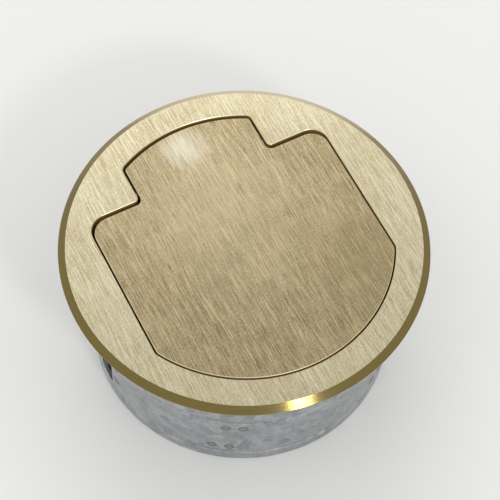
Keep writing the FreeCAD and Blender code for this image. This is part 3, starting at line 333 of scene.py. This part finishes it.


# A soft patch of painted light, strongest at a point and fading out over the given half sizes.
def painted_light_patch(finish, x, y, half_width, half_length):
    centre = (x, y, BRASS_TOP_MM)
    size = (half_width, half_length, PATCH_DEPTH_MM)
    offset = finish.vector("DIVIDE", finish.vector("SUBTRACT", finish.place(), centre), size)
    reach = finish.vector("LENGTH", offset, output=1)
    torn = reach + (scratches(finish, width_mm=0.7, length_mm=8) - 0.5) * 1.3
    return finish.ramp(torn, (0.0, 0.75), (1.0, 0.0))


# Painted highlight over the middle of the lid.
painted_highlight_middle = painted_light_patch(lid_brass, -3.0, 18.0, 44, 50)
# Painted shade on one side of the lid.
painted_shade_side = painted_light_patch(lid_brass, 38.0, -28.0, 28, 38)
# Painted highlight on the tab.
painted_highlight_tab = painted_light_patch(lid_brass, -2.5, 51.0, 12, 13)
# Mix the painted highlights and the painted shade into the lid's colour.
lid_tone = lid_brass.mix(painted_highlight_middle * 0.55, lid_tone, colour(206, 190, 156))
lid_tone = lid_brass.mix(painted_shade_side * 0.6, lid_tone, colour(136, 120, 78))
lid_tone = lid_brass.mix(painted_highlight_tab * 0.9, lid_tone, colour(219, 215, 196))
lid_tone, lid_gloss = finish_other_faces(lid_brass, lid_tone, lid_gloss - painted_highlight_tab * 0.08)
lid_brass.use(Base_Color=lid_tone, Roughness=lid_gloss)
print("lid finish done:", len(lid_brass.tree.nodes), "nodes")

# %% [markdown]
# ## The ring's bevel
# The ring is the same brass, a shade paler. Its bevel was cut on a lathe, so the marks run round
# the rim and it is smoother. Its colours are darkened as painted shade, standing for a dark
# reflection, and behind the tab's right corner the bevel is painted pale as a reflection. A second
# material would need its own faces. The distance from the middle finds the bevel without them.

# %% Finish the ring
BEVEL_START_MM = 72.0
# Painted reflection: the bevel is painted pale on the side that faces this way.
PAINTED_SHEEN_SIDE = (0.490, 0.872, 0.0)


def outward(finish):
    """Distance from the middle of the box, in millimetres."""
    return finish.vector("LENGTH", finish.place((1, 1, 0)), output=1)


ring_tone, ring_gloss = finish_other_faces(ring_brass, ring_tone, ring_gloss)
on_bevel = outward(ring_brass) > BEVEL_START_MM
lathe = ring_brass.noise(ring_brass.place((0.04, 0.04, 7)), 1.0, detail=3)
# Painted reflection on the bevel's side behind the tab's right corner.
towards = ring_brass.vector("DOT_PRODUCT", ring_brass.place(), PAINTED_SHEEN_SIDE, output=1)
painted_sheen_far = ring_brass.ramp(towards * (0.001 / RING_RADIUS), (0.7, 0.0), (0.95, 1.0))
# Painted shade: the bevel's two colours are darkened to stand for a dark reflection; the noise
# between them is lathe marks.
bevel_lathe_and_painted_light = ring_brass.mix(lathe, colour(113, 98, 47), colour(142, 125, 68))
# Mix the pale painted reflection into the bevel.
bevel_lathe_and_painted_light = ring_brass.mix(painted_sheen_far, bevel_lathe_and_painted_light, colour(205, 190, 152))
bevel_gloss = 0.1 + lathe * 0.06
ring_brass.use(Base_Color=ring_brass.mix(on_bevel, ring_tone, bevel_lathe_and_painted_light),
               Roughness=ring_gloss * (1 - on_bevel) + bevel_gloss * on_bevel)
print("ring finish done:", len(ring_brass.tree.nodes), "nodes")

# %% [markdown]
# ## Steel
# The can and the folded brackets are galvanised sheet. Zinc freezes on steel in flat crystals,
# called spangle, each a little lighter or darker than its neighbour. Noise would give clouds
# without edges, so a cell texture gives one random shade per crystal. Turned pins and clips are
# plain ground steel.

# %% Make the steel finishes
def crystals(finish, size_mm):
    """One random shade for each crystal of the zinc."""
    inputs = {"Vector": finish.place(), "Scale": 1 / size_mm}
    return finish.node("ShaderNodeTexVoronoi", {"feature": "F1"}, inputs, output=1)


def galvanised(name, crystal_mm, dark, light, roughness):
    finish = Finish(name, Metallic=1.0)
    spangle = crystals(finish, crystal_mm) * 0.6 + crystals(finish, crystal_mm * 0.37) * 0.4
    handling = finish.noise(finish.place(), 0.06, detail=4)
    grain = finish.noise(finish.place(), 2.5)
    level = spangle * 0.55 + handling * 0.3 + grain * 0.15
    tone = finish.mix(finish.ramp(level, (0.25, 0.0), (0.75, 1.0)), dark, light)
    gloss = roughness + (spangle - 0.5) * 0.16 + (handling - 0.5) * 0.2
    finish.use(Base_Color=tone, Roughness=gloss)
    finish.bump(grain * 0.6 + spangle * 0.4, depth_mm=0.012)
    return finish


def ground_steel(name):
    finish = Finish(name, Metallic=1.0)
    marks = finish.noise(finish.place((8, 8, 8)), 1.0)
    film = finish.noise(finish.place(), 0.3, detail=3)
    finish.use(Base_Color=finish.mix(film, colour(165, 164, 163), colour(205, 204, 202)),
               Roughness=0.22 + marks * 0.16)
    finish.bump(marks, depth_mm=0.004)
    return finish


zinc_sheet = galvanised("zinc_sheet", 4.5, colour(138, 142, 146), colour(196, 199, 201), 0.34)
zinc_small = galvanised("zinc_small", 1.4, colour(150, 153, 156), colour(202, 203, 202), 0.3)
pin_steel = ground_steel("pin_steel")
print("steel:", [finish.material.name for finish in (zinc_sheet, zinc_small, pin_steel)])

# %% [markdown]
# ## Cast zinc
# Carriages and claws are die cast. The skin of a casting is slightly wavy and dull, with flow
# marks where the metal met in the mould. One noise would look like plain dirt, so two noises of
# different size lift the surface.

# %% Make the cast zinc
def cast_zinc(name):
    finish = Finish(name, Metallic=1.0)
    waves = finish.noise(finish.place(), 0.35, detail=3)
    skin = finish.noise(finish.place(), 3.0, detail=3)
    level = waves * 0.6 + skin * 0.4
    finish.use(Base_Color=finish.mix(level, colour(120, 121, 124), colour(176, 177, 179)),
               Roughness=0.4 + skin * 0.2)
    finish.bump(waves * 0.5 + skin * 0.5, depth_mm=0.05)
    return finish


claw_zinc = cast_zinc("claw_zinc")
print("cast zinc:", claw_zinc.material.name)

# %% [markdown]
# ## Paint, plastic and rubber
# The deck has a fine black powder coat, which melts into small rounded bumps. Mouldings take the
# spark-eroded grain of their mould. Both are a bump of fine noise, deeper for the paint, so one
# function makes them all. A slow second noise keeps large faces from looking flat, as dust and
# handling do.

# %% Make the paint and the plastics
def grained(name, dark, light, roughness, grain_per_mm, depth_mm):
    finish = Finish(name)
    grain = finish.noise(finish.place(), grain_per_mm)
    handling = finish.noise(finish.place(), 0.08, detail=4)
    finish.use(Base_Color=finish.mix(grain * 0.45 + handling * 0.55, dark, light),
               Roughness=roughness + (handling - 0.5) * 0.2 + (grain - 0.5) * 0.12)
    finish.bump(grain, depth_mm)
    return finish


grained_finishes = {
    name: grained(name, *values) for name, values in {
        "deck_paint": (colour(26, 26, 27), colour(46, 46, 48), 0.5, 2.6, 0.08),
        "seat_plastic": (colour(38, 33, 26), colour(56, 49, 40), 0.5, 4.0, 0.02),
        "seal_rubber": (colour(22, 22, 22), colour(40, 40, 39), 0.75, 3.0, 0.04),
        "outlet_plastic": (colour(226, 223, 215), colour(238, 236, 230), 0.34, 5.0, 0.01),
        "outlet_base": (colour(66, 67, 70), colour(92, 93, 96), 0.5, 3.0, 0.02),
        "jack_plastic": (colour(36, 36, 38), colour(56, 56, 58), 0.4, 5.0, 0.01),
    }.items()
}
print("grained:", list(grained_finishes))

# %% [markdown]
# ## Contacts and the earth screw
# Contacts are stamped from bright brass strip, so rolling lines run along them, again as stretched
# noise. The earth screw is plated steel dyed green. The dye is uneven, and a slow noise between a
# deep and a thin green shows that more simply than a mask along the edges would.

# %% Make the contact brass and the green dye
def strip_brass(name):
    finish = Finish(name, Metallic=1.0)
    lines = finish.noise(finish.place((6, 6, 0.4)), 1.0)
    film = finish.noise(finish.place(), 0.5, detail=3)
    finish.use(Base_Color=finish.mix(film, colour(196, 158, 82), colour(232, 200, 128)),
               Roughness=0.2 + lines * 0.16)
    finish.bump(lines, depth_mm=0.004)
    return finish


def dyed_green(name):
    finish = Finish(name, Metallic=0.75)
    film = finish.noise(finish.place(), 1.1, detail=3)
    finish.use(Base_Color=finish.mix(film, colour(20, 92, 46), colour(58, 150, 84)),
               Roughness=0.3 + film * 0.2)
    finish.bump(finish.noise(finish.place(), 4.0), depth_mm=0.006)
    return finish


contact_brass = strip_brass("contact_brass")
earth_green = dyed_green("earth_green")
print("contacts:", contact_brass.material.name, earth_green.material.name)

# %% [markdown]
# ## Dress the solids
# The record names a material slot for each solid. A finish could be set solid by solid, but a
# table from slot to finish dresses them all, and the few that differ from the rest of their slot
# are listed after it.

# %% Give every solid its finish
finish_of_slot = {
    "brass": ring_brass, "pin_steel": pin_steel, "zinc_steel": zinc_small,
    "claw_zinc": claw_zinc, "contact_brass": contact_brass, "earth_green": earth_green,
    **grained_finishes,
}
finish_of_node = {
    "lid": lid_brass, "lid_lugs": lid_brass, "can": zinc_sheet, "wiring_cover": zinc_sheet,
}
slot_of_node = {part["node"]: part["material_slot"] for part in frame["record"]["subparts"]}


def finish_of(node):
    return finish_of_node.get(node, finish_of_slot[slot_of_node[node]])


def dress(piece, finish):
    piece.data.materials.clear()
    piece.data.materials.append(finish.material)


for node in slot_of_node:
    dress(nodes[node], finish_of(node))
print("dressed", len(slot_of_node), "solids")

# %% [markdown]
# ## Soft edges on mouldings and castings
# No moulded or cast edge is sharp: the mould is rounded there, or tumbling took the edge off. The
# CAD solids have sharp edges, which are easier to measure. A bevel modifier would round inner
# corners too, and the thin triangles of the solid would get in its way. So a copy with its flat
# faces joined up and its outer edges rounded takes the place of such a solid. Inner edges stay as
# they are, so the copy never grows into a neighbour.

# %% Round the outer edges
WELD_DISTANCE = 1e-6
FLAT_ANGLE = math.radians(1)
OUTER_ANGLE = math.radians(35)
CREASE_ANGLE = math.radians(40)
SOFT_EDGE_MM = {
    "outlet_face_left": 0.45, "outlet_face_right": 0.45, "data_bezel": 0.45,
    "data_jack_left": 0.2, "data_jack_right": 0.2, "lid_seat": 0.4, "lid_seal": 0.4,
    "claw_left": 0.5, "claw_right": 0.5, "claw_pad_left": 0.3, "claw_pad_right": 0.3,
    "clamp_carriage_left": 0.4, "clamp_carriage_right": 0.4,
    "power_bushing": 0.3, "data_bushing": 0.3,
}
bodies = frame["record"]["behaviour"]["bodies"]
body_of_node = {node: body for body, members in bodies.items() for node in members}


def add_piece(name, shape, like, finish=None, stands_for=()):
    """Turn a bmesh into a piece that moves with a CAD solid and has its material slot."""
    mesh = bpy.data.meshes.new(name)
    shape.to_mesh(mesh)
    shape.free()
    mesh.shade_smooth()
    mesh.set_sharp_from_angle(angle=CREASE_ANGLE)
    piece = bpy.data.objects.new(name, mesh)
    bpy.context.scene.collection.objects.link(piece)
    flat = piece.modifiers.new("flat_faces_stay_flat", "WEIGHTED_NORMAL")
    flat.keep_sharp = True
    dress(piece, finish or finish_of(like))
    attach(piece, body_of_node[like])
    if stands_for:
        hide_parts(*stands_for)
    return piece


def soften(node, width_mm):
    shape = bmesh.new()
    shape.from_mesh(nodes[node].data)
    bmesh.ops.remove_doubles(shape, verts=shape.verts, dist=WELD_DISTANCE)
    bmesh.ops.dissolve_limit(shape, angle_limit=FLAT_ANGLE, verts=shape.verts, edges=shape.edges)
    outer = [edge for edge in shape.edges
             if edge.is_manifold and edge.calc_face_angle_signed() > OUTER_ANGLE]
    bmesh.ops.bevel(shape, geom=outer, offset=width_mm / 1000, segments=3, profile=0.5,
                    affect="EDGES", clamp_overlap=True)
    return add_piece(f"{node}_soft", shape, node, stands_for=(node,))


soft_pieces = [soften(node, width_mm) for node, width_mm in SOFT_EDGE_MM.items()]
print("softened:", len(soft_pieces))

# %% [markdown]
# ## Shapes turned round an axis
# A screw is turned, so its outline goes round Z as rings of points. The cross recess could be cut
# out with a boolean, which often leaves ragged faces. Here it is a hole in the flat of the head
# with sides that slope in, as the punch leaves it.

# %% Turn a screw and punch its head
RECESS_TAPER = 0.7


def turned(outline_mm, steps=32):
    """Rings of points round Z from (radius, height) pairs; returns the shape and last ring."""
    shape = bmesh.new()
    around = [2 * math.pi * step / steps for step in range(steps)]
    rings = [[shape.verts.new((radius * math.cos(a), radius * math.sin(a), height))
              for a in around] for radius, height in outline_mm]
    for low, high in zip(rings, rings[1:]):
        for step in range(steps):
            after = (step + 1) % steps
            shape.faces.new((low[step], low[after], high[after], high[step]))
    shape.faces.new(reversed(rings[0]))
    return shape, rings[-1]


def punch_cross(shape, rim, arm, half, depth):
    """Close the head inside its rim with a flat that has a cross recess."""
    quarter = [(arm, -half), (arm, half), (half, half)]
    corners = [(x * c - y * s, x * s + y * c)
               for c, s in ((1, 0), (0, 1), (-1, 0), (0, -1)) for x, y in quarter]
    top = rim[0].co.z
    mouth = [shape.verts.new((x, y, top)) for x, y in corners]
    foot = [shape.verts.new((RECESS_TAPER * x, RECESS_TAPER * y, top - depth))
            for x, y in corners]
    edges = []
    for loop in (rim, mouth):
        for first, second in zip(loop, loop[1:] + loop[:1]):
            edges.append(shape.edges.get((first, second)) or shape.edges.new((first, second)))
    bmesh.ops.triangle_fill(shape, use_beauty=True, edges=edges)
    for step in range(len(corners)):
        after = (step + 1) % len(corners)
        shape.faces.new((mouth[after], mouth[step], foot[step], foot[after]))
    shape.faces.new(foot)


print("turning and punching ready")

# %% [markdown]
# ## Clamp screws with threads
# The clamp screws lift the claws, and their threads show through the slots of the can. A thread
# could be a stack of rings, but a real one climbs: it is one ridge that rises a pitch per turn.
# It stays inside the plain rod that the CAD uses for it.

# %% Make the clamp screws
MM = Matrix.Scale(0.001, 4)
CLAMP_SCREW_X = 51
THREAD_CREST, THREAD_CORE, THREAD_PITCH = 2.0, 1.48, 0.7
THREAD_LOW, THREAD_HIGH = -60.6, -11.6
THREAD_PROFILE = ((THREAD_CORE, 0), (THREAD_CREST, 0.42 * THREAD_PITCH),
                  (THREAD_CREST, 0.56 * THREAD_PITCH), (THREAD_CORE, 0.98 * THREAD_PITCH))
CLAMP_SCREW_OUTLINE = [
    (0.8, -61.2), (1.5, -60.5), (1.5, -11.6), (2.0, -11.1), (2.0, -8.0), (3.4, -8.0),
    (3.4, -6.9), (3.3, -6.5), (3.0, -6.0), (2.5, -5.6), (1.95, -5.42),
]


def cut_thread(shape, steps=20):
    """Wind a ridge round the shank."""
    turns = int((THREAD_HIGH - THREAD_LOW) / THREAD_PITCH)
    strip = []
    for step in range(turns * steps + 1):
        a = 2 * math.pi * step / steps
        height = THREAD_LOW + THREAD_PITCH * step / steps
        strip.append([shape.verts.new((radius * math.cos(a), radius * math.sin(a), height + rise))
                      for radius, rise in THREAD_PROFILE])
    for before, after in zip(strip, strip[1:]):
        for part in range(len(THREAD_PROFILE) - 1):
            shape.faces.new((before[part], after[part], after[part + 1], before[part + 1]))


def clamp_screw(side, x):
    shape, rim = turned(CLAMP_SCREW_OUTLINE)
    punch_cross(shape, rim, arm=1.7, half=0.42, depth=1.5)
    cut_thread(shape)
    bmesh.ops.recalc_face_normals(shape, faces=shape.faces)
    bmesh.ops.transform(shape, matrix=MM @ Matrix.Translation((x, 0, 0)), verts=shape.verts)
    node = f"clamp_screw_{side}"
    return add_piece(f"{node}_threaded", shape, node, stands_for=(node,))


clamp_screws = [clamp_screw("left", -CLAMP_SCREW_X), clamp_screw("right", CLAMP_SCREW_X)]
print("clamp screws:", [piece.name for piece in clamp_screws])

# %% [markdown]
# ## Screws that hold the ring
# Six countersunk screws go through the can into the ring's collar. Only their heads show, so they
# get a cross recess and no thread. One screw is made and set at each place round the can, and all
# six become one piece, as they are one node in the CAD.

# %% Make the ring screws
CAN_RADIUS_MM = 64.0
RING_SCREW_HEIGHT = -2.5
RING_SCREW_ANGLES = (-12, 12, 52, 128, 168, 192)
RING_SCREW_OUTLINE = [(1.0, -5.0), (1.25, -4.7), (1.25, -1.5), (2.35, -0.06), (2.25, 0.0)]


def ring_screws():
    whole = bmesh.new()
    lay_down = Matrix.Rotation(math.pi / 2, 4, "Y")
    at_wall = Matrix.Translation((CAN_RADIUS_MM, 0, RING_SCREW_HEIGHT))
    for angle in RING_SCREW_ANGLES:
        shape, rim = turned(RING_SCREW_OUTLINE)
        punch_cross(shape, rim, arm=1.4, half=0.32, depth=1.1)
        bmesh.ops.recalc_face_normals(shape, faces=shape.faces)
        place = Matrix.Rotation(math.radians(angle), 4, "Z") @ at_wall @ lay_down
        bmesh.ops.transform(shape, matrix=MM @ place, verts=shape.verts)
        spare = bpy.data.meshes.new("ring_screw")
        shape.to_mesh(spare)
        whole.from_mesh(spare)
        shape.free()
        bpy.data.meshes.remove(spare)
    return add_piece("ring_screws_punched", whole, "ring_screws", stands_for=("ring_screws",))


print("ring screws:", ring_screws().name)

# %% [markdown]
# ## Welds on the can
# The can is a rolled strip, joined behind the tab by one weld, and its channels and brackets are
# spot welded to it. The electrodes leave shallow round dents with a raised lip, and the heat burns
# the zinc off. The seam is a low bead with a ripple for every drop of metal. Bump alone would
# vanish at the can's outline, so both are meshes that follow the can into its rolled grooves.

# %% Shape the welds
GROOVE_HEIGHTS = (-33.5, -62.5)
GROOVE_HALF, GROOVE_SLOPE, GROOVE_DEPTH = 1.2, 0.6, 0.5
SPOT_STEPS = 20
SPOT_PROFILE = ((1.3, 0.03), (1.7, 0.16), (2.0, 0.12), (2.3, -0.05))
SPOT_MIDDLE = 0.02
BEAD_PROFILE = ((-1, -0.06), (-0.7, 0.1), (-0.3, 0.2), (0.3, 0.2), (0.7, 0.1), (1, -0.06))
BEAD_HALF, BEAD_WANDER, BEAD_STEP, BEAD_RIPPLE = 1.25, 0.12, 0.35, 1.4


def on_can(angle, height, lift):
    """A point on the outside of the can, in millimetres, lifted off its surface."""
    radius = CAN_RADIUS_MM + lift
    for groove in GROOVE_HEIGHTS:
        depth = GROOVE_HALF - abs(height - groove)
        radius -= GROOVE_DEPTH * min(max(depth / GROOVE_SLOPE, 0), 1)
    return Vector((radius * math.cos(angle), radius * math.sin(angle), height))


def spot_weld(shape, angle_deg, height):
    """A dent with a low lip, as rings of points round its middle."""
    angle = math.radians(angle_deg)
    middle = shape.verts.new(on_can(angle, height, SPOT_MIDDLE))
    around = [2 * math.pi * step / SPOT_STEPS for step in range(SPOT_STEPS)]
    rings = [[shape.verts.new(on_can(angle + reach * math.cos(a) / CAN_RADIUS_MM,
                                     height + reach * math.sin(a), lift)) for a in around]
             for reach, lift in SPOT_PROFILE]
    for step in range(SPOT_STEPS):
        after = (step + 1) % SPOT_STEPS
        shape.faces.new((middle, rings[0][step], rings[0][after]))
        for low, high in zip(rings, rings[1:]):
            shape.faces.new((low[step], high[step], high[after], low[after]))


def seam_weld(shape, angle_deg, low, high):
    """A rippled bead up the can."""
    rows = []
    count = int((high - low) / BEAD_STEP)
    for row in range(count + 1):
        height = low + (high - low) * row / count
        ripple = 0.5 + 0.5 * math.sin(2 * math.pi * height / BEAD_RIPPLE)
        half = BEAD_HALF + BEAD_WANDER * math.sin(height * 1.7)
        rows.append([shape.verts.new(on_can(math.radians(angle_deg) + part * half / CAN_RADIUS_MM,
                                            height, lift * (0.75 + 0.25 * ripple)))
                     for part, lift in BEAD_PROFILE])
    for before, after in zip(rows, rows[1:]):
        for part in range(len(BEAD_PROFILE) - 1):
            shape.faces.new((before[part], before[part + 1], after[part + 1], after[part]))


print("weld shapes ready")

# %% [markdown]
# ## The colours of the heat
# The heat leaves a brown film with blue in it, on the lip of a spot and along the foot of the
# seam. It could be painted on each weld. How far a point stands off the can tells raised metal
# from low, so one function serves both kinds of weld.

# %% Weld the can
def heat_tint(name, low, high):
    """Steel where the zinc burnt off: one colour in the dents, one on the raised metal."""
    finish = Finish(name, Metallic=1.0)
    raised = finish.ramp((outward(finish) - CAN_RADIUS_MM) * 6, (0.2, 0.0), (0.75, 1.0))
    film = finish.noise(finish.place(), 0.9, detail=3)
    soot = finish.noise(finish.place(), 4.0)
    tone = finish.mix(raised, low, high)
    blued = finish.ramp(film, (0.45, 0.0), (0.7, 0.5))
    finish.use(Base_Color=finish.mix(blued, tone, colour(112, 116, 126)),
               Roughness=0.36 + soot * 0.2)
    finish.bump(soot, depth_mm=0.02)
    return finish


SPOT_GROUPS = (
    ((0, 180), 7.7, (-14, -26, -40, -52)),      # clamp channels
    ((60, 120, 240, 300), 3.2, (-38.5,)),       # deck brackets
    ((55, 125, 235, 305), 3.2, (-57,)),         # cover brackets
)
SEAM_ANGLE, SEAM_LOW, SEAM_HIGH = 90, -69.0, -1.0

spots = bmesh.new()
for angles, edge, heights in SPOT_GROUPS:
    for angle in angles:
        for side in (-edge, edge):
            for height in heights:
                spot_weld(spots, angle + side, height)
bmesh.ops.transform(spots, matrix=MM, verts=spots.verts)
dent_tint = heat_tint("dent_tint", colour(158, 159, 160), colour(136, 128, 116))
spot_welds = add_piece("spot_welds", spots, "can", dent_tint)

seam = bmesh.new()
seam_weld(seam, SEAM_ANGLE, SEAM_LOW, SEAM_HIGH)
bmesh.ops.transform(seam, matrix=MM, verts=seam.verts)
bead_tint = heat_tint("bead_tint", colour(122, 115, 106), colour(150, 149, 147))
seam_bead = add_piece("seam_weld", seam, "can", bead_tint)
print("weld faces:", len(spot_welds.data.polygons) + len(seam_bead.data.polygons))

# %% [markdown]
# ## Floor and light
# The floor is plain and pale. The box stands on the bottom of its can, so that the can and its
# clamps can be seen too. One large soft lamp beyond the ring lights the far side of the brass
# more than the near side. A weaker lamp high on the left fills the shadows, too high to show in
# the bevel, and a small bright one in front on the right puts the glint on it. One lamp for all of
# this would have to be large for the brass and small for the glint.

# %% Build the studio
FLOOR_HALF = 6.0
FLOOR_PAPER = (0.93, 0.925, 0.91, 1)
SURROUND = (0.93, 0.93, 0.92, 1)
SURROUND_STRENGTH = 0.8


def make_floor():
    mesh = bpy.data.meshes.new("studio_floor")
    level = cad_box[0][2]
    corners = [(x * FLOOR_HALF, y * FLOOR_HALF, level)
               for x, y in ((-1, -1), (1, -1), (1, 1), (-1, 1))]
    mesh.from_pydata(corners, [], [(0, 1, 2, 3)])
    floor = bpy.data.objects.new("studio_floor", mesh)
    bpy.context.scene.collection.objects.link(floor)
    paper = Finish("studio_paper", Roughness=0.9, Base_Color=FLOOR_PAPER)
    mesh.materials.append(paper.material)


def add_lamp(name, place, size, radiance):
    """A square soft lamp aimed at the box; radiance is how bright its face looks in a mirror."""
    data = bpy.data.lights.new(name, "AREA")
    data.size = size
    data.energy = radiance * math.pi * size * size
    lamp = bpy.data.objects.new(name, data)
    lamp.location = in_studio(*place)
    lamp.rotation_euler = (-lamp.location).to_track_quat("-Z", "Y").to_euler()
    bpy.context.scene.collection.objects.link(lamp)


def light_world():
    """A pale surround that fills the shadows."""
    world = bpy.data.worlds.new("studio_world")
    world.use_nodes = True
    bpy.context.scene.world = world
    background = world.node_tree.nodes["Background"]
    background.inputs["Color"].default_value = SURROUND
    background.inputs["Strength"].default_value = SURROUND_STRENGTH


make_floor()
add_lamp("key_lamp", (-0.3, 1.5, 1.22), size=1.3, radiance=1.25)
add_lamp("fill_lamp", (-0.75, -0.35, 1.6), size=0.7, radiance=0.6)
add_lamp("spark_lamp", (0.64, -1.04, 1.05), size=0.2, radiance=30)
light_world()
scene = bpy.context.scene
scene.view_settings.view_transform = "Standard"
